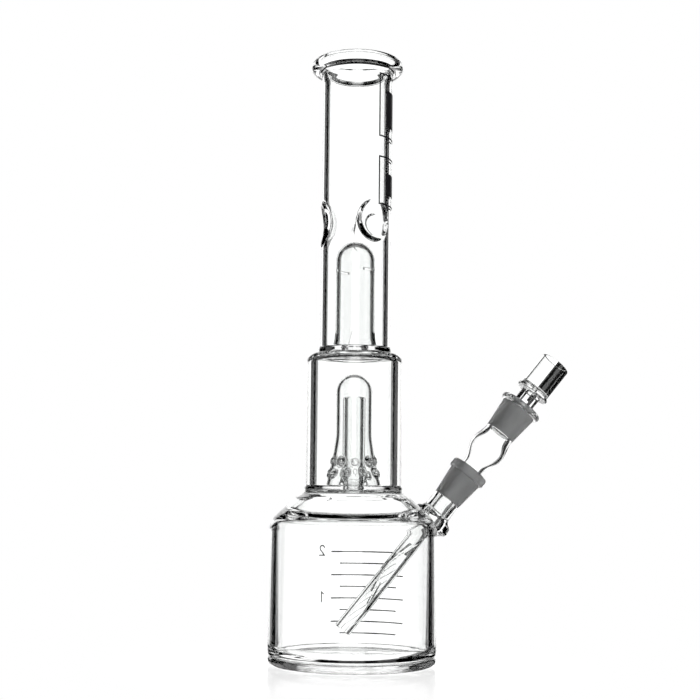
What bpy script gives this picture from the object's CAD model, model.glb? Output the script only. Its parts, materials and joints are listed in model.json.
"""Looks of the glass water pipe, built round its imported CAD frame.

Lengths are in millimetres in the outlines and become metres when a mesh is made. An outline is a
list of corners (radius, height, rounding) turned about an axis: UPRIGHT is the vessel's own axis,
and STEM is the leaning axis that the downstem and the bowl share.
"""

import json
import math

import bmesh
import bpy
from mathutils import Matrix, Vector


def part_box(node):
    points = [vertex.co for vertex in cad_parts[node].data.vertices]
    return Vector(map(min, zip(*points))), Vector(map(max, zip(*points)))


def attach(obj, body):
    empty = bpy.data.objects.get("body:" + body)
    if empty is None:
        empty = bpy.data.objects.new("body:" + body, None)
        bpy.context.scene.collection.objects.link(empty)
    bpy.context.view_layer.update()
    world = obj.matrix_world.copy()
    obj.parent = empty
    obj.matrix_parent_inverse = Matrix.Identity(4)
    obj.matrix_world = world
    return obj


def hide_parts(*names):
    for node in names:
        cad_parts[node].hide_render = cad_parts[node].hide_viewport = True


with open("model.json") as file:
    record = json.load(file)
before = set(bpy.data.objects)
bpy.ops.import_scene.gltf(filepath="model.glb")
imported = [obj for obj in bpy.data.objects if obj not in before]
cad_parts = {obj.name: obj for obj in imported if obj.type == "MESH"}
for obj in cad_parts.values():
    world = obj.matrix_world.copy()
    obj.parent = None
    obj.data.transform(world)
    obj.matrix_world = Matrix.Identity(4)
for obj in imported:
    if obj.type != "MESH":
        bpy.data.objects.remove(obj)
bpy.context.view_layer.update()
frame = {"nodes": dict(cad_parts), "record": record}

MM = 0.001
SEAM = 0.02  # gap left at each weld, so that two glass faces never share a place
SEGMENTS = 192  # steps round the vessel
STEM_SEGMENTS = 128  # steps round the joints and the bowl
CUT_SEGMENTS = 96  # steps round the tube, the stub and what is cut out of them
FINE_TURN = math.radians(7)  # the longest step of an arc in an outline
SHARP = math.radians(38)  # faces that meet at more than this keep a hard edge
VESSEL, DOWNSTEM, BOWL = "vessel", "downstem", "bowl"


# ---------------------------------------------------------------- axes and sizes from the frame

def stem_matrix():
    """The stem's own axes: Z runs up the stem from the tip of the slitted tube."""
    joints = {joint["name"]: joint for joint in frame["record"]["behaviour"]["joints"]}
    along = Vector(joints["downstem_pull"]["axis"]).normalized()
    low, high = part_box("downstem_tube")
    middle = (low + high) / 2
    tube = frame["nodes"]["downstem_tube"].data.vertices
    tip = min((vertex.co - middle).dot(along) for vertex in tube)
    turn = Vector((0, 0, 1)).rotation_difference(along).to_matrix().to_4x4()
    return Matrix.Translation(middle + along * tip) @ turn


UPRIGHT = Matrix.Identity(4)
STEM = stem_matrix()


def reach(node, axis=UPRIGHT):
    """A CAD node's lowest and highest place along an axis, and its least and largest radius."""
    into = axis.inverted()
    places = [into @ vertex.co for vertex in frame["nodes"][node].data.vertices]
    heights = [place.z / MM for place in places]
    radii = [math.hypot(place.x, place.y) / MM for place in places]
    return min(heights), max(heights), min(radii), max(radii)


def ring_at(node, level, axis=UPRIGHT):
    """A CAD node's least and largest radius at one height along an axis."""
    into = axis.inverted()
    places = [into @ vertex.co for vertex in frame["nodes"][node].data.vertices]
    radii = [math.hypot(place.x, place.y) / MM for place in places if abs(place.z / MM - level) < 0.05]
    return min(radii), max(radii)


# ---------------------------------------------------------------- outlines

def rounded(corners, closed=True):
    """Points of an outline whose corners (radius, height, rounding) are replaced by arcs."""
    points = []
    count = len(corners)
    for i, (x, y, rounding) in enumerate(corners):
        corner = Vector((x, y))
        ends = not closed and i in (0, count - 1)
        if rounding <= 0 or ends:
            points.append(corner)
            continue
        before = Vector(corners[i - 1][:2]) - corner
        after = Vector(corners[(i + 1) % count][:2]) - corner
        turn = math.pi - before.angle(after)
        if turn < 1e-4:
            points.append(corner)
            continue
        reach_back = rounding * math.tan(turn / 2)
        start = corner + before.normalized() * reach_back
        end = corner + after.normalized() * reach_back
        inward = (before.normalized() + after.normalized()).normalized()
        centre = corner + inward * (rounding / math.cos(turn / 2))
        steps = max(2, math.ceil(turn / FINE_TURN))
        sweep = (start - centre).angle_signed(end - centre)
        for k in range(steps + 1):
            angle = -sweep * k / steps
            arm = start - centre
            points.append(centre + Vector((
                arm.x * math.cos(angle) - arm.y * math.sin(angle),
                arm.x * math.sin(angle) + arm.y * math.cos(angle))))
    return points


def resampled(points, step, closed=True):
    """The same outline with no stretch longer than step."""
    fine = []
    pairs = list(zip(points, points[1:] + points[:1]))
    if not closed:
        pairs = pairs[:-1]
    for a, b in pairs:
        pieces = max(1, math.ceil((b - a).length / step))
        fine += [a.lerp(b, k / pieces) for k in range(pieces)]
    if not closed:
        fine.append(points[-1])
    return fine


def ease(a, b, x):
    """From a to b as x goes from 0 to 1, level at both ends."""
    return a + (b - a) * (1 - math.cos(math.pi * x)) / 2


# ---------------------------------------------------------------- meshes

def new_piece(name, mesh):
    """An object in the scene, made from a mesh."""
    piece = bpy.data.objects.new(name, mesh)
    bpy.context.scene.collection.objects.link(piece)
    return piece


def solid(name, bm):
    """A piece from a closed bmesh, with every face turned outwards."""
    bmesh.ops.recalc_face_normals(bm, faces=bm.faces)
    if bm.calc_volume(signed=True) < 0:
        bmesh.ops.reverse_faces(bm, faces=bm.faces)
    mesh = bpy.data.meshes.new(name)
    bm.to_mesh(mesh)
    bm.free()
    shade(mesh)
    return new_piece(name, mesh)


def shade(mesh):
    """Smooth shading, with hard edges only where two faces meet at more than the sharp angle."""
    mesh.polygons.foreach_set("use_smooth", [True] * len(mesh.polygons))
    mesh.set_sharp_from_angle(angle=SHARP)


def ring_of(bm, point, axis, segments, moved):
    """The vertices that one outline point makes as it turns: a ring, or one vertex on the axis.

    moved takes (radius, bearing, height) in mm and gives the radius and the height to use instead.
    """
    on_axis = point.x < 1e-6
    ring = []
    for i in range(1 if on_axis else segments):
        bearing = 2 * math.pi * i / segments
        radius, height = point.x, point.y
        if moved:
            radius, height = moved(radius, bearing, height)
        place = Vector((radius * math.cos(bearing), radius * math.sin(bearing), height)) * MM
        ring.append(bm.verts.new(axis @ place))
    return ring


def join_rings(bm, rings, segments):
    """Faces between each ring and the next, three-cornered where one of them is a single vertex."""
    for lower, upper in zip(rings, rings[1:]):
        for i in range(segments):
            k = (i + 1) % segments
            corners = [lower[i % len(lower)], lower[k % len(lower)],
                       upper[k % len(upper)], upper[i % len(upper)]]
            unique = list(dict.fromkeys(corners))
            if len(unique) > 2:
                bm.faces.new(unique)


def lathe(name, points, axis=UPRIGHT, segments=SEGMENTS, moved=None):
    """A closed solid of revolution. An outline that starts and ends on the axis is capped there."""
    bm = bmesh.new()
    rings = [ring_of(bm, point, axis, segments, moved) for point in points]
    capped = len(rings[0]) == 1 and len(rings[-1]) == 1
    join_rings(bm, rings if capped else rings + rings[:1], segments)
    return solid(name, bm)


def lathe_two_sided(name, points, moved=None):
    """A domed shell: its outline runs up the outside to the axis and back down the inside."""
    crown = [i for i, point in enumerate(points) if point.x < 1e-6]
    bm = bmesh.new()
    rims = []
    for side in (points[:crown[0] + 1], points[crown[-1]:]):
        rings = [ring_of(bm, point, UPRIGHT, SEGMENTS, moved) for point in side]
        join_rings(bm, rings, SEGMENTS)
        rims.append(rings[0] if len(rings[0]) > 1 else rings[-1])
    join_rings(bm, rims, SEGMENTS)
    return solid(name, bm)


def block(size, matrix):
    """A box of a size in mm, centred and placed by a matrix, for cutting slits."""
    bm = bmesh.new()
    bmesh.ops.create_cube(bm, size=1.0)
    bmesh.ops.scale(bm, vec=Vector(size) * MM, verts=bm.verts)
    bmesh.ops.transform(bm, matrix=matrix, verts=bm.verts)
    return solid("cutter", bm)


def prism(outline, depth, matrix):
    """A flat outline in mm, in its own XZ plane, pushed depth along Y, for cutting notches."""
    bm = bmesh.new()
    near = [bm.verts.new(matrix @ (Vector((x, 0, z)) * MM)) for x, z in outline]
    far = [bm.verts.new(matrix @ (Vector((x, depth, z)) * MM)) for x, z in outline]
    bm.faces.new(near)
    bm.faces.new(far)
    for i in range(len(outline)):
        k = (i + 1) % len(outline)
        bm.faces.new((near[i], near[k], far[k], far[i]))
    return solid("cutter", bm)


def combine(piece, others, operation):
    """Joins solids to a piece, or cuts them from it, and removes them."""
    for other in others:
        step = piece.modifiers.new(operation, "BOOLEAN")
        step.operation = operation
        step.solver = "EXACT"
        step.object = other
    bpy.context.view_layer.update()
    made = bpy.data.meshes.new_from_object(
        piece.evaluated_get(bpy.context.evaluated_depsgraph_get()))
    piece.modifiers.clear()
    old = piece.data
    made.name = piece.name
    piece.data = made
    bpy.data.meshes.remove(old)
    for other in others:
        bpy.data.meshes.remove(other.data)
    shade(made)
    return piece


def merged(cutters):
    """One object from several cutters that don't touch each other."""
    bm = bmesh.new()
    for cutter in cutters:
        bm.from_mesh(cutter.data)
    mesh = bpy.data.meshes.new("cutters")
    bm.to_mesh(mesh)
    bm.free()
    for cutter in cutters:
        bpy.data.meshes.remove(cutter.data)
    return new_piece("cutters", mesh)


def turned(bearing):
    """A turn about Z, in degrees."""
    return Matrix.Rotation(math.radians(bearing), 4, "Z")


def shifted(x, y, z):
    """A move, in mm."""
    return Matrix.Translation(Vector((x, y, z)) * MM)


# ---------------------------------------------------------------- materials

class Nodes:
    """Short calls for building one node tree."""

    def __init__(self, tree):
        self.tree = tree
        tree.nodes.clear()

    def add(self, kind, **settings):
        node = self.tree.nodes.new(kind)
        for key, value in settings.items():
            setattr(node, key, value)
        return node

    def link(self, source, target):
        self.tree.links.new(source, target)

    def feed(self, target, value):
        if isinstance(value, bpy.types.NodeSocket):
            self.link(value, target)
        else:
            target.default_value = value

    def math(self, operation, a, b=0.0):
        node = self.add("ShaderNodeMath", operation=operation)
        for target, value in zip(node.inputs, (a, b)):
            self.feed(target, value)
        return node.outputs[0]

    def ramp(self, value, low, high, to_low=0.0, to_high=1.0, smooth=True):
        node = self.add("ShaderNodeMapRange")
        node.interpolation_type = "SMOOTHSTEP" if smooth else "LINEAR"
        self.feed(node.inputs["Value"], value)
        node.inputs["From Min"].default_value = low
        node.inputs["From Max"].default_value = high
        node.inputs["To Min"].default_value = to_low
        node.inputs["To Max"].default_value = to_high
        return node.outputs["Result"]

    def noise(self, scale, detail, stretch=(1, 1, 1)):
        place = self.add("ShaderNodeTexCoord").outputs["Object"]
        mapping = self.add("ShaderNodeMapping")
        mapping.inputs["Scale"].default_value = stretch
        self.link(place, mapping.inputs["Vector"])
        node = self.add("ShaderNodeTexNoise")
        self.link(mapping.outputs["Vector"], node.inputs["Vector"])
        node.inputs["Scale"].default_value = scale
        node.inputs["Detail"].default_value = detail
        return node.outputs["Fac"]

    def blend(self, fac, dark, light):
        """A colour between dark and light. Sockets 6 and 7 are the mix node's two colours."""
        node = self.add("ShaderNodeMix", data_type="RGBA")
        self.feed(node.inputs["Factor"], fac)
        self.feed(node.inputs[6], (*dark, 1))
        self.feed(node.inputs[7], (*light, 1))
        return node.outputs[2]

    def bump(self, height, strength, distance):
        node = self.add("ShaderNodeBump")
        node.inputs["Strength"].default_value = strength
        node.inputs["Distance"].default_value = distance
        self.link(height, node.inputs["Height"])
        return node.outputs["Normal"]


def new_material(name):
    """A material with its node calls and a plain shader wired to its output."""
    material = bpy.data.materials.new(name)
    material.use_nodes = True
    nodes = Nodes(material.node_tree)
    shader = nodes.add("ShaderNodeBsdfPrincipled")
    output = nodes.add("ShaderNodeOutputMaterial")
    nodes.link(shader.outputs["BSDF"], output.inputs["Surface"])
    return material, nodes, shader


GLASS_IOR = 1.474


def clear_glass(name):
    """Fire-polished borosilicate: hardly any tint, with faint draw lines in its polish."""
    material, nodes, shader = new_material(name)
    tint = nodes.noise(40.0, 3.0, (1, 1, 0.25))
    nodes.link(nodes.blend(tint, (0.965, 0.972, 0.968), (0.992, 0.995, 0.993)), shader.inputs["Base Color"])
    nodes.link(nodes.ramp(tint, 0.3, 0.75, 0.0, 0.012), shader.inputs["Roughness"])
    shader.inputs["IOR"].default_value = GLASS_IOR
    shader.inputs["Transmission Weight"].default_value = 1.0
    return material


def ground_glass(name, dark, light, clearness):
    """Ground joint: fine frosting, a little cloudy, that lets some light through."""
    material, nodes, shader = new_material(name)
    grain = nodes.noise(2600.0, 3.0)
    cloud = nodes.noise(90.0, 3.0)
    tone = nodes.math("ADD", nodes.math("MULTIPLY", grain, 0.45), nodes.math("MULTIPLY", cloud, 0.55))
    nodes.link(nodes.blend(nodes.ramp(tone, 0.36, 0.66), dark, light), shader.inputs["Base Color"])
    nodes.link(nodes.ramp(grain, 0.3, 0.7, 0.44, 0.56), shader.inputs["Roughness"])
    shader.inputs["IOR"].default_value = GLASS_IOR
    shader.inputs["Transmission Weight"].default_value = clearness
    nodes.link(nodes.bump(grain, 0.25, 0.00005), shader.inputs["Normal"])
    return material


def enamel(name, tone):
    """Fired print: dark, slightly uneven, thinner in places."""
    material, nodes, shader = new_material(name)
    patch = nodes.noise(700.0, 4.0)
    light = tuple(channel * 1.9 for channel in tone)
    nodes.link(nodes.blend(nodes.ramp(patch, 0.4, 0.72), tone, light), shader.inputs["Base Color"])
    nodes.link(nodes.ramp(patch, 0.3, 0.7, 0.32, 0.55), shader.inputs["Roughness"])
    nodes.link(nodes.bump(patch, 0.3, 0.00004), shader.inputs["Normal"])
    return material


GLASS = clear_glass("clear_glass")
STEM_GLASS = clear_glass("stem_glass")
BOWL_GLASS = clear_glass("bowl_glass")
FROSTED = ground_glass("ground_glass", (0.80, 0.805, 0.805), (0.92, 0.925, 0.925), 0.8)
FROSTED_COLLAR = ground_glass("ground_collar", (0.84, 0.845, 0.845), (0.95, 0.955, 0.955), 0.8)
CLEAR_COLLAR = clear_glass("clear_collar")
SCALE_ENAMEL = enamel("scale_enamel", (0.02, 0.02, 0.022))
NECK_ENAMEL = enamel("neck_enamel", (0.03, 0.03, 0.033))


def finish_piece(piece, body, slot, material, *nodes):
    """Gives a piece its material, its body, its slot and the CAD nodes that it stands for."""
    piece.data.materials.clear()
    piece.data.materials.append(material)
    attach(piece, body)
    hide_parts(*nodes)
    return piece


# ---------------------------------------------------------------- the vessel

FOOT_LOW, FOOT_TOP, _, FOOT_R = reach("foot_disc")
_, WALL_TOP, _, BEAKER_R = reach("beaker_wall")
BEAKER_IN, _ = ring_at("beaker_wall", WALL_TOP)
_, SLOPE_TOP, _, _ = reach("beaker_shoulder")
_, WAIST_R = ring_at("beaker_shoulder", SLOPE_TOP)
WAIST_IN_LOW, _, _, _ = reach("waist_ring")
WAIST_IN, _ = ring_at("waist_ring", WAIST_IN_LOW)
CHAMBER_LOW, FLOOR_TOP, _, FLOOR_R = reach("chamber_floor")
_, RISER_TOP, RISER_IN, _ = reach("riser_tube")
_, RISER_R = ring_at("riser_tube", RISER_TOP)
_, DOME_TOP, _, DOME_RIM_R = reach("percolator_dome")
_, _, CHAMBER_IN, CHAMBER_R = reach("chamber_wall")
_, CHAMBER_TOP, _, _ = reach("chamber_top")
_, PLATE_TOP, _, PLATE_R = reach("splash_plate")
_, SPLASH_TOP, _, SPLASH_RIM_R = reach("splash_dome")
_, NECK_TOP, _, NECK_R = reach("neck_tube")
_, LIP_TOP, NECK_IN, LIP_R = reach("mouth_lip")

SHOULDER_BEND = 17.0  # radius of the bend from the wall into the slope
SHOULDER_SLOPE = math.radians(42.5)
CEILING_Z = WAIST_IN_LOW - 11  # the nearly flat ceiling inside the shoulder
HOLLOW_R = 54.0  # the foot's underside is hollow inside this radius, and its bead lies outside it


def uneven(radius, bearing, height):
    """The underside is pressed slightly hollow and wavy, and the bead round it is lumpy."""
    if height > 2.0 and radius > HOLLOW_R:
        lump = math.sin(13 * bearing) + math.sin(22 * bearing + 1)
        return radius + (0.16 * lump if height < FOOT_TOP else 0), height
    if height > 2.0:
        return radius, height
    inside = max(0.0, 1 - (radius / HOLLOW_R) ** 6)
    ripple = math.sin(3 * bearing + radius / 7) + math.sin(5 * bearing - radius / 4.3)
    return radius, height + inside * (0.35 + 0.16 * ripple)


def beaker():
    """Foot, wall, shoulder and waist fused into one piece, with the stub welded through its corner."""
    high = CHAMBER_LOW - SEAM
    spill = 2.0  # how far a cutter runs past the glass
    bend_z = WALL_TOP + SHOULDER_BEND * math.tan((math.pi / 2 - SHOULDER_SLOPE) / 2)
    groove_r = BEAKER_R - 1.4
    underside = [(radius, FOOT_LOW, 0) for radius in range(0, int(HOLLOW_R) + 1, 3)]
    envelope = lathe("beaker", rounded(underside + [
        (FOOT_R, FOOT_LOW, 4.4), (FOOT_R, FOOT_TOP, 2.0), (groove_r, FOOT_TOP, 0.4),
        (groove_r, FOOT_TOP + 0.8, 0.4), (BEAKER_R - 0.4, FOOT_TOP + 1.6, 1.0), (BEAKER_R, FOOT_TOP + 5, 4.0),
        (BEAKER_R, bend_z, SHOULDER_BEND), (WAIST_R, SLOPE_TOP, 3.0), (WAIST_R - 1.6, SLOPE_TOP + 0.6, 0.8),
        (CHAMBER_R + 2.6, high - 3.0, 1.6), (CHAMBER_R + 0.9, high, 0.4), (0, high, 0)], closed=False),
        moved=uneven)
    hollow = lathe("cutter", rounded([
        (0, FOOT_TOP, 0), (BEAKER_IN, FOOT_TOP, 8.5), (BEAKER_IN, CEILING_Z, 7.0),
        (WAIST_R, CEILING_Z + 1.2, 5.0), (WAIST_IN, WAIST_IN_LOW, 9.0),
        (WAIST_IN - 0.6, high - 3.0, 2.4), (WAIST_IN - 4.5, high, 0),
        (WAIST_IN - 4.5, high + spill, 0), (0, high + spill, 0)], closed=False))
    _, stub_top, bore, stub_r = reach("joint_stub", STEM)
    weld_low, weld_high, _, weld_r = reach("stub_weld", STEM)
    stub = lathe("cutter", rounded([
        (0, weld_low + 2, 0), (stub_r, weld_low + 2, 1.0), (weld_r + 1, weld_low + 6, 3.0),
        (weld_r, weld_low + 12, 3.0), (stub_r + 0.6, weld_high - 3, 5.0), (stub_r, weld_high + 3, 4.0),
        (stub_r, stub_top - SEAM, 0.6), (0, stub_top - SEAM, 0)], closed=False), STEM, CUT_SEGMENTS)
    passage = lathe("cutter", rounded([
        (0, weld_low - 30, 0), (bore, weld_low - 30, 0), (bore, stub_top - 4, 1.0),
        (bore + 0.5, stub_top + spill, 0), (0, stub_top + spill, 0)], closed=False), STEM, CUT_SEGMENTS)
    piece = combine(envelope, [stub], "UNION")
    piece = combine(piece, [hollow], "DIFFERENCE")
    piece = combine(piece, [passage], "DIFFERENCE")
    return finish_piece(piece, VESSEL, "clear_glass", GLASS, "foot_disc",
                        "beaker_wall", "beaker_shoulder", "waist_ring", "joint_stub", "stub_weld")


def riser():
    """The floor plate and the riser that is drawn up out of it with a bell-shaped foot."""
    points = rounded([
        (RISER_IN, CHAMBER_LOW, 0.8), (FLOOR_R, CHAMBER_LOW, 1.2), (FLOOR_R, FLOOR_TOP, 1.2),
        (RISER_R + 3.6, FLOOR_TOP, 1.0), (RISER_R + 1.5, FLOOR_TOP + 5, 9.0), (RISER_R, FLOOR_TOP + 14, 20.0),
        (RISER_R, RISER_TOP, 1.3), (RISER_IN, RISER_TOP, 1.2)])
    piece = lathe("riser_and_floor", points)
    return finish_piece(piece, VESSEL, "clear_glass", GLASS, "chamber_floor", "riser_tube")


DOME_R = 13.6
DOME_WALL = 2.3
DOME_HOLE_R = 2.3
DOME_HOLES = 10  # in each row
HOLE_ROWS = ((10.3, 18.1), (18.6, 16.4))  # height over the floor plate, and the dome's radius there
HOLE_LIP_OUT, HOLE_LIP_IN = 1.2, 1.1  # how far the torch's lip stands out on either side
HOLE_LIP_W = 0.7


def dome_corners(inset):
    """The percolator dome's outline, moved inwards by inset."""
    low = FLOOR_TOP + SEAM
    return [
        (DOME_RIM_R - inset, low, 0), (DOME_RIM_R - 1.7 - inset, low + 7, 30),
        (DOME_R + 2.7 - inset, low + 19, 60), (DOME_R - inset, low + 37, 45),
        (DOME_R - inset, DOME_TOP - inset, DOME_R - inset), (0, DOME_TOP - inset, 0)]


def dome_holes():
    """(bearing in degrees, height, radius of the dome there, size) of holes pierced by hand in two rows."""
    holes = []
    for row, (rise, radius) in enumerate(HOLE_ROWS):
        for i in range(DOME_HOLES):
            angle = (i + row / 2) * 360 / DOME_HOLES + 5 * math.sin(7 * i + row)
            size = DOME_HOLE_R * (0.82 + 0.18 * math.sin(3 * i + 2 * row))
            holes.append((angle, FLOOR_TOP + rise + math.sin(5 * i + row), radius, size))
    return holes


def percolator_dome():
    """Blown dome with two rows of holes, each with the raised lip that the torch leaves."""
    holes = dome_holes()
    outer = rounded(dome_corners(0), closed=False)
    inner = rounded(dome_corners(DOME_WALL), closed=False)

    def radius_at(height):
        below = [p for p in outer if p.y <= height]
        above = [p for p in outer if p.y >= height]
        a, b = below[-1], above[0]
        share = (height - a.y) / (b.y - a.y) if b.y > a.y else 0.0
        return a.x + (b.x - a.x) * share

    def lipped(radius, bearing, height):
        if height > FLOOR_TOP + 26 or radius < 10:
            return radius, height
        lift = 0.0
        for angle, hole_z, hole_r, size in holes:
            around = (bearing - math.radians(angle) + math.pi) % (2 * math.pi) - math.pi
            off = math.hypot(around * hole_r, height - hole_z)
            lift = max(lift, math.exp(-((off - size) / HOLE_LIP_W) ** 2))
        outside = radius > radius_at(height) - DOME_WALL / 2
        return radius + (HOLE_LIP_OUT if outside else -HOLE_LIP_IN) * lift, height

    points = resampled(outer, 1.2, closed=False) + resampled(inner[::-1], 1.2, closed=False)
    piece = lathe_two_sided("percolator_shell", points, lipped)
    cutters = merged([
        lathe("cutter", [Vector(p) for p in ((0, 0), (size, 0), (size, 12), (0, 12))],
              turned(angle) @ shifted(hole_r - 6, 0, hole_z)
              @ Matrix.Rotation(math.pi / 2, 4, "Y"), 32)
        for angle, hole_z, hole_r, size in holes])
    piece = combine(piece, [cutters], "DIFFERENCE")
    return finish_piece(piece, VESSEL, "clear_glass", GLASS, "percolator_dome")


def chamber():
    """Heavy chamber wall with its rounded top."""
    low = FLOOR_TOP + SEAM
    high = CHAMBER_TOP - SEAM
    under = CHAMBER_TOP - 4
    piece = lathe("chamber", rounded([
        (CHAMBER_IN, low, 0.5), (CHAMBER_R, low, 0.6), (CHAMBER_R, high, 6.0),
        (NECK_IN, high, 0.5), (NECK_IN, under, 0.8), (CHAMBER_IN, under, 3.0)]))
    return finish_piece(piece, VESSEL, "clear_glass", GLASS, "chamber_wall", "chamber_top")


def splash_plate():
    """Plate between the chamber and the neck, with a port under the splash guard."""
    port_r = 7.0
    piece = lathe("splash_disc", rounded([
        (port_r, CHAMBER_TOP, 1.0), (PLATE_R, CHAMBER_TOP, 1.2),
        (PLATE_R, PLATE_TOP, 1.2), (port_r, PLATE_TOP, 1.0)]))
    return finish_piece(piece, VESSEL, "clear_glass", GLASS, "splash_plate")


def splash_dome():
    """Splash guard with two slits under its crown and four notches at its foot."""
    low = PLATE_TOP + SEAM
    outer_r, wall = 14.8, 2.8
    slit_bearing, slit_drop, slit_half_turn, slit_h = -33, 21.4, 41, 1.8
    first_notch = -11
    reach_out = 24  # how far a cutter reaches, well past the dome

    def corners(inset):
        return [(SPLASH_RIM_R + 0.5 - inset, low, 0), (outer_r + 0.5 - inset, low + 6, 15),
                (outer_r - inset, low + 14, 30), (outer_r - inset, SPLASH_TOP - inset, outer_r - inset),
                (0, SPLASH_TOP - inset, 0)]

    outer = rounded(corners(0), closed=False)
    inner = rounded(corners(wall), closed=False)
    piece = lathe_two_sided("splash_shell", outer + inner[::-1])
    slits = []
    for side in (0, 180):
        wedge = [(0, 0)] + [(reach_out * math.cos(math.radians(a)), reach_out * math.sin(math.radians(a)))
                            for a in range(-slit_half_turn, slit_half_turn + 1, 6)]
        place = turned(slit_bearing + side) @ shifted(0, 0, SPLASH_TOP - slit_drop)
        slits.append(prism(wedge, -slit_h, place @ Matrix.Rotation(math.pi / 2, 4, "X")))
    notch = [(-3.4, -1), (3.4, -1), (2.0, 5.4), (0.8, 11), (0, 11.6), (-0.8, 11), (-2.0, 5.4)]
    notches = [prism(notch, reach_out, turned(first_notch + side) @ shifted(0, 0, low))
               for side in (0, 90, 180, 270)]
    piece = combine(piece, [merged(slits), merged(notches)], "DIFFERENCE")
    return finish_piece(piece, VESSEL, "clear_glass", GLASS, "splash_dome")


PINCH_BEARINGS = (-60.0, 60.0, 180.0)
PINCH_Z = 325.5
PINCH_DEPTH = 7.5
PINCH_HALF_H = 13.5
# a pinch is the dent of a ball that reaches PINCH_DEPTH in and is 2 * PINCH_HALF_H tall on the wall
BALL_R = (PINCH_HALF_H ** 2 + PINCH_DEPTH ** 2) / (2 * PINCH_DEPTH)
BALL_CENTRE = NECK_R - PINCH_DEPTH + BALL_R


def softened(depth, blend=1.4):
    """Zero outside, the depth itself inside, with a smooth turn between the two."""
    if depth < -blend:
        return 0.0
    if depth > blend:
        return depth
    return (depth + blend) ** 2 / (4 * blend)


def pressed_in(wall_r, ball_r, bearing, height):
    """How deep the balls of the ice pinches press in a wall of that radius at a place on it."""
    push = 0.0
    for pinch in PINCH_BEARINGS:
        around = (bearing - math.radians(pinch) + math.pi) % (2 * math.pi) - math.pi
        room = ball_r ** 2 - (height - PINCH_Z) ** 2 - (BALL_CENTRE * math.sin(around)) ** 2
        if abs(around) < math.pi / 2 and room > 0:
            push += softened(wall_r - BALL_CENTRE * math.cos(around) + math.sqrt(room))
    return push


def neck():
    """Heavy neck drawn out into a mouth with a fat rim, and three ice pinches pressed in hot."""
    wall = NECK_R - NECK_IN

    def pinched(radius, bearing, height):
        if abs(height - PINCH_Z) > 2 * PINCH_HALF_H:
            return radius, height
        if radius > NECK_R - wall / 2:
            return radius - pressed_in(NECK_R, BALL_R, bearing, height), height
        return radius - pressed_in(NECK_IN, BALL_R + wall, bearing, height), height

    low = PLATE_TOP + SEAM
    rim_low = NECK_TOP + 3.4
    points = rounded([
        (NECK_IN, low, 0.5), (NECK_R, low, 0.6), (NECK_R, rim_low, 3.3), (LIP_R, rim_low, 4.5),
        (LIP_R, LIP_TOP, 4.5), (LIP_R - 6.2, LIP_TOP, 1.5), (NECK_IN + 1.2, NECK_TOP + 3.5, 12.0),
        (NECK_IN, NECK_TOP - 4, 10.0)])
    piece = lathe("neck", resampled(points, 1.1), moved=pinched, segments=256)
    return finish_piece(piece, VESSEL, "clear_glass", GLASS, "neck_tube", "mouth_lip")


# ---------------------------------------------------------------- joints, downstem and bowl

def sleeve(name, node, body, slot, material):
    """A ground cone or socket: the CAD outline with its edges eased."""
    edge = 0.4
    low, high, _, _ = reach(node, STEM)
    low_in, low_out = ring_at(node, low, STEM)
    high_in, high_out = ring_at(node, high, STEM)
    low, high = low + SEAM, high - SEAM
    piece = lathe(name, rounded([
        (low_in, low, edge / 2), (low_out, low, edge),
        (high_out, high, edge), (high_in, high, edge / 2)]), STEM, STEM_SEGMENTS)
    return finish_piece(piece, body, slot, material, node)


def collar(name, node, body, slot, material, edge):
    """The rolled rim of a socket, with its outer edges rounded and the 1 in 10 taper in its bore."""
    low, high, inner, outer = reach(node, STEM)
    low, high = low + SEAM, high - SEAM
    taper = (high - low) / 20
    piece = lathe(name, rounded([
        (inner, low, 0.3), (outer, low, edge), (outer, high, edge), (inner + taper, high, 0.5)]),
        STEM, STEM_SEGMENTS)
    return finish_piece(piece, body, slot, material, node)


def downstem_tube():
    """Slitted tube: a fire-polished open end and eight slanted saw cuts."""
    low, high, inner, outer = reach("downstem_tube", STEM)
    slits, first, climb, slant = 8, 22, 9, math.radians(-13)
    cut_size, cut_r = (6, 0.4, 28), 6.3
    piece = lathe("slitted_tube", resampled(rounded([
        (inner, low, 0.7), (outer, low, 0.8), (outer, high - SEAM, 0.2), (inner, high - SEAM, 0.2)]), 4.0),
        STEM, CUT_SEGMENTS)
    cutters = []
    for i in range(slits):
        place = STEM @ turned(i * 360 / slits) @ shifted(0, 0, first + climb * i)
        cutters.append(block(cut_size, place @ Matrix.Rotation(slant, 4, "X") @ shifted(cut_r, 0, 0)))
    piece = combine(piece, [merged(cutters)], "DIFFERENCE")
    return finish_piece(piece, DOWNSTEM, "stem_glass", STEM_GLASS, "downstem_tube")


def downstem_bulb():
    """Neck and bulb between the two ground joints."""
    low, high, _, belly = reach("downstem_bulb", STEM)
    neck_r, neck_end, middle = 8.8, low + 3.4, low + 19
    top_out, top_in, wall = 11.5, 8.0, 2.2
    steps = 16
    shapes = []
    for inset, end_r in ((0.0, top_out), (wall, top_in)):
        side = [Vector((neck_r - inset, low + SEAM))]
        for k in range(steps + 1):
            side.append(Vector((ease(neck_r, belly, k / steps) - inset,
                                neck_end + (middle - neck_end) * k / steps)))
        for k in range(1, steps + 1):
            side.append(Vector((ease(belly - inset, end_r, k / steps),
                                middle + (high - SEAM - middle) * k / steps)))
        shapes.append(side)
    piece = lathe("stem_bulb", shapes[0] + shapes[1][::-1], STEM, STEM_SEGMENTS)
    return finish_piece(piece, DOWNSTEM, "stem_glass", STEM_GLASS, "downstem_bulb")


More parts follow.
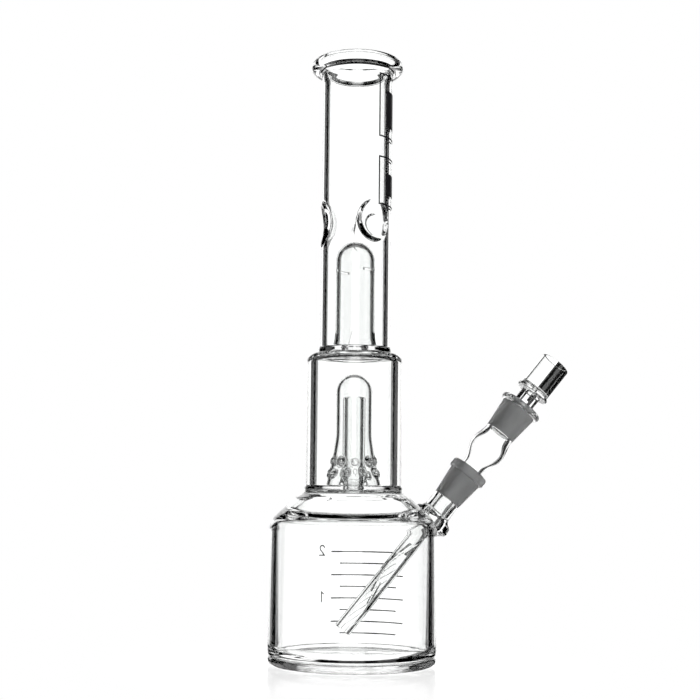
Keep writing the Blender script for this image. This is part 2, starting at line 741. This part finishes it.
def bowl():
    """Stem, flange and thick cup drawn as one piece of glass, with the cavity and its draw hole."""
    stem_low, _, bore, stem_r = reach("bowl_stem", STEM)
    flange_low, cup_low, _, flange_r = reach("bowl_flange", STEM)
    _, top, hole, cup_r = reach("bowl_cup", STEM)
    cavity_r, cavity_low = 9.4, cup_low + 1.4
    points = rounded([
        (bore, stem_low + SEAM, 0), (stem_r, stem_low + SEAM, 0), (stem_r, flange_low, 1.2),
        (flange_r, flange_low, 0.9), (flange_r, cup_low, 0.9), (cup_r, cup_low + 0.2, 0.5),
        (cup_r, top, 1.3), (cavity_r, top, 0.4), (cavity_r, cavity_low, 2.2), (hole, cavity_low, 0.4),
        (hole, cup_low + 0.4, 0.3), (bore, cup_low - 1, 0.8)])
    piece = lathe("bowl", points, STEM, STEM_SEGMENTS)
    return finish_piece(piece, BOWL, "bowl_glass", BOWL_GLASS, "bowl_stem", "bowl_flange", "bowl_cup")


def printed(node, material):
    """A CAD print that stays as it is and only gets its enamel."""
    piece = frame["nodes"][node]
    piece.data.materials.clear()
    piece.data.materials.append(material)


beaker()
riser()
percolator_dome()
chamber()
splash_plate()
splash_dome()
neck()
sleeve("lower_socket", "joint_socket", VESSEL, "ground_glass", FROSTED)
collar("lower_collar", "socket_collar", VESSEL, "ground_collar", FROSTED_COLLAR, 1.8)
downstem_tube()
sleeve("lower_cone", "downstem_cone", DOWNSTEM, "ground_glass", FROSTED)
downstem_bulb()
sleeve("upper_socket", "downstem_socket", DOWNSTEM, "ground_glass", FROSTED)
collar("upper_collar", "downstem_collar", DOWNSTEM, "clear_collar", CLEAR_COLLAR, 1.7)
sleeve("upper_cone", "bowl_cone", BOWL, "ground_glass", FROSTED)
bowl()
printed("scale_lines", SCALE_ENAMEL)
printed("scale_numerals", SCALE_ENAMEL)
printed("neck_print", NECK_ENAMEL)


# ---------------------------------------------------------------- studio

CAMERA_BEARING = -5.0  # degrees, and so are the pitch, the yaw and the roll
CAMERA_DISTANCE = 0.962  # metres from the object's axis
CAMERA_HEIGHT = 0.1199
CAMERA_PITCH = 4.44
CAMERA_YAW = 0.19
CAMERA_ROLL = 0.6
CAMERA_SHIFT = 0.07
SENSOR = 36.0
LENS = 66.86

# The panels, in degrees round the object and up from the horizon
PANEL_GLOW = 1.36
PANEL_EDGE = 2.5  # how softly a panel ends at its sides
FLARE = (-11.0, -1.0)  # between these rises a panel goes from its low half width to its high one
BACK_HALF_WIDTHS = (17.0, 25.0)
SIDE_HALF_WIDTHS = (17.0, 13.0)
PANEL_TOP = (26.0, 30.0)  # a panel fades out between these rises
UNLIT_BELOW = (-62.0, -56.0)  # and nothing is lit under these, which draws the foot's dark heel
LOW_PANELS = ((45.0, 11.0, -12.5), (225.0, 13.0, -3.0))  # (bearing, half width, top)

STUDIO_R = 30.0  # the studio floor's radius, in metres
STUDIO_DROP = 0.00005  # metres under the foot, so that the two never share a place
GLOSS_ENDS = (0.06, 0.19)  # the floor's gloss fades between these distances from the middle, in metres
GLOSS = 0.24
GLOSS_DIMMING = 0.85  # how much of its own glow the floor loses where it is glossy


def camera():
    """The camera, aimed from its distance, height, pitch, yaw and roll."""
    data = bpy.data.cameras.new("camera")
    data.sensor_width = SENSOR
    data.lens = LENS
    data.shift_y = CAMERA_SHIFT
    data.clip_start = 0.01
    data.clip_end = 100.0
    cam = bpy.data.objects.new("camera", data)
    bpy.context.scene.collection.objects.link(cam)
    bearing = math.radians(CAMERA_BEARING)
    cam.location = Vector((math.sin(bearing), -math.cos(bearing), 0)) * CAMERA_DISTANCE
    cam.location.z = CAMERA_HEIGHT
    aim = math.radians(CAMERA_BEARING + CAMERA_YAW)
    forward = Vector((-math.sin(aim), math.cos(aim), math.tan(math.radians(CAMERA_PITCH))))
    look = forward.to_track_quat("-Z", "Y").to_matrix().to_4x4()
    roll = Matrix.Rotation(math.radians(CAMERA_ROLL), 4, "Z")
    cam.rotation_mode = "QUATERNION"
    cam.rotation_quaternion = (look @ roll).to_quaternion()
    bpy.context.scene.camera = cam


def panel(nodes, bearing, middle, half_width):
    """1 on an upright light panel round the middle bearing, and 0 away from it."""
    away = nodes.math("PINGPONG", nodes.math("ADD", bearing, 720.0 - middle), 180.0)
    return nodes.ramp(nodes.math("SUBTRACT", away, half_width), 0.0, PANEL_EDGE, 1.0, 0.0)


def studio():
    """Bright-field light: white panels behind the glass, on its left and in front, dark between them.

    Two low panels serve the views from above and from behind.
    """
    world = bpy.data.worlds.new("studio")
    world.use_nodes = True
    nodes = Nodes(world.node_tree)
    direction = nodes.add("ShaderNodeTexCoord").outputs["Generated"]
    parts = nodes.add("ShaderNodeSeparateXYZ")
    nodes.link(direction, parts.inputs[0])
    x, y, z = parts.outputs
    bearing = nodes.math("MULTIPLY", nodes.math("ARCTAN2", nodes.math("MULTIPLY", x, -1.0), y), 180 / math.pi)
    rise = nodes.math("MULTIPLY", nodes.math("ARCSINE", z), 180 / math.pi)
    back_width = nodes.ramp(rise, *FLARE, *BACK_HALF_WIDTHS, smooth=False)
    side_width = nodes.ramp(rise, *FLARE, *SIDE_HALF_WIDTHS, smooth=False)
    back = panel(nodes, bearing, CAMERA_BEARING, back_width)
    sides = nodes.math("MAXIMUM", panel(nodes, bearing, CAMERA_BEARING + 90.0, side_width),
                       panel(nodes, bearing, CAMERA_BEARING + 180.0, side_width))
    lit = nodes.math("MULTIPLY", nodes.math("MAXIMUM", back, sides), nodes.ramp(rise, *PANEL_TOP, 1.0, 0.0))
    for middle, width, top in LOW_PANELS:
        low = nodes.math("MULTIPLY", panel(nodes, bearing, middle, width),
                         nodes.ramp(rise, top - 1, top + 1, 1.0, 0.0))
        lit = nodes.math("MAXIMUM", lit, low)
    lit = nodes.math("MULTIPLY", lit, nodes.ramp(rise, *UNLIT_BELOW, 0.0, 1.0))
    glow = nodes.math("MULTIPLY", lit, PANEL_GLOW)
    behind = nodes.add("ShaderNodeMix", data_type="FLOAT")
    nodes.link(nodes.add("ShaderNodeLightPath").outputs["Is Camera Ray"], behind.inputs[0])
    nodes.link(glow, behind.inputs[2])
    behind.inputs[3].default_value = 1.0
    background = nodes.add("ShaderNodeBackground")
    background.inputs["Color"].default_value = (1, 1, 1, 1)
    nodes.link(behind.outputs[0], background.inputs["Strength"])
    output = nodes.add("ShaderNodeOutputWorld")
    nodes.link(background.outputs[0], output.inputs["Surface"])
    bpy.context.scene.world = world


def stage_piece(name, bm):
    """A piece of the studio, with an empty material of its own."""
    mesh = bpy.data.meshes.new(name)
    bm.to_mesh(mesh)
    bm.free()
    piece = new_piece(name, mesh)
    material = bpy.data.materials.new(name)
    material.use_nodes = True
    piece.data.materials.append(material)
    return piece, Nodes(material.node_tree)


def floor():
    """Pale floor, glossy close to the object. The camera sees it, and the glass sees the panels."""
    bm = bmesh.new()
    bmesh.ops.create_circle(bm, cap_ends=True, radius=STUDIO_R, segments=96)
    piece, nodes = stage_piece("floor", bm)
    piece.location.z = -STUDIO_DROP
    place = nodes.add("ShaderNodeVectorMath", operation="LENGTH")
    nodes.link(nodes.add("ShaderNodeTexCoord").outputs["Object"], place.inputs[0])
    sheen = nodes.ramp(place.outputs["Value"], *GLOSS_ENDS, GLOSS, 0.0)
    glow = nodes.add("ShaderNodeEmission")
    glow.inputs["Color"].default_value = (1, 1, 1, 1)
    dimming = nodes.math("MULTIPLY", sheen, GLOSS_DIMMING)
    nodes.link(nodes.math("SUBTRACT", 1.0, dimming), glow.inputs["Strength"])
    mirror = nodes.add("ShaderNodeBsdfGlossy")
    nodes.link(nodes.blend(sheen, (0, 0, 0), (1, 1, 1)), mirror.inputs["Color"])
    mirror.inputs["Roughness"].default_value = 0.10
    both = nodes.add("ShaderNodeAddShader")
    nodes.link(glow.outputs[0], both.inputs[0])
    nodes.link(mirror.outputs[0], both.inputs[1])
    clear = nodes.add("ShaderNodeBsdfTransparent")
    mix = nodes.add("ShaderNodeMixShader")
    nodes.link(nodes.add("ShaderNodeLightPath").outputs["Is Camera Ray"], mix.inputs[0])
    nodes.link(clear.outputs[0], mix.inputs[1])
    nodes.link(both.outputs[0], mix.inputs[2])
    output = nodes.add("ShaderNodeOutputMaterial")
    nodes.link(mix.outputs[0], output.inputs["Surface"])


def flag():
    """A small black card behind the bowl that only the glass sees, for the dark side of the cup."""
    _, cup_low, _, _ = reach("bowl_stem", STEM)
    _, cup_high, _, _ = reach("bowl_cup", STEM)
    behind, near_edge, far_edge, margin = 40, 1, 46, 6
    middle = STEM @ Vector((0, 0, (cup_low + cup_high) / 2 * MM))
    away = (middle - bpy.context.scene.camera.location).normalized()
    up = STEM.to_3x3() @ Vector((0, 0, 1))
    up = (up - up.dot(away) * away).normalized()
    right = away.cross(up)
    centre = middle + away * behind * MM
    half_h = (cup_high - cup_low) / 2 + margin
    bm = bmesh.new()
    card = ((near_edge, -half_h), (far_edge, -half_h), (far_edge, half_h), (near_edge, half_h))
    bm.faces.new([bm.verts.new(centre + (right * x + up * y) * MM) for x, y in card])
    piece, nodes = stage_piece("flag", bm)
    cloth = nodes.add("ShaderNodeBsdfDiffuse")
    cloth.inputs["Color"].default_value = (0.02, 0.02, 0.02, 1)
    output = nodes.add("ShaderNodeOutputMaterial")
    nodes.link(cloth.outputs[0], output.inputs["Surface"])
    piece.visible_camera = False


camera()
studio()
floor()
flag()

# a look through the chamber crosses six walls of glass, and light runs on inside the thick ones
scene = bpy.context.scene
scene.view_settings.view_transform = "Standard"
scene.cycles.max_bounces = 40
scene.cycles.transmission_bounces = 40
scene.cycles.transparent_max_bounces = 16
scene.cycles.glossy_bounces = 12
scene.cycles.use_denoising = True
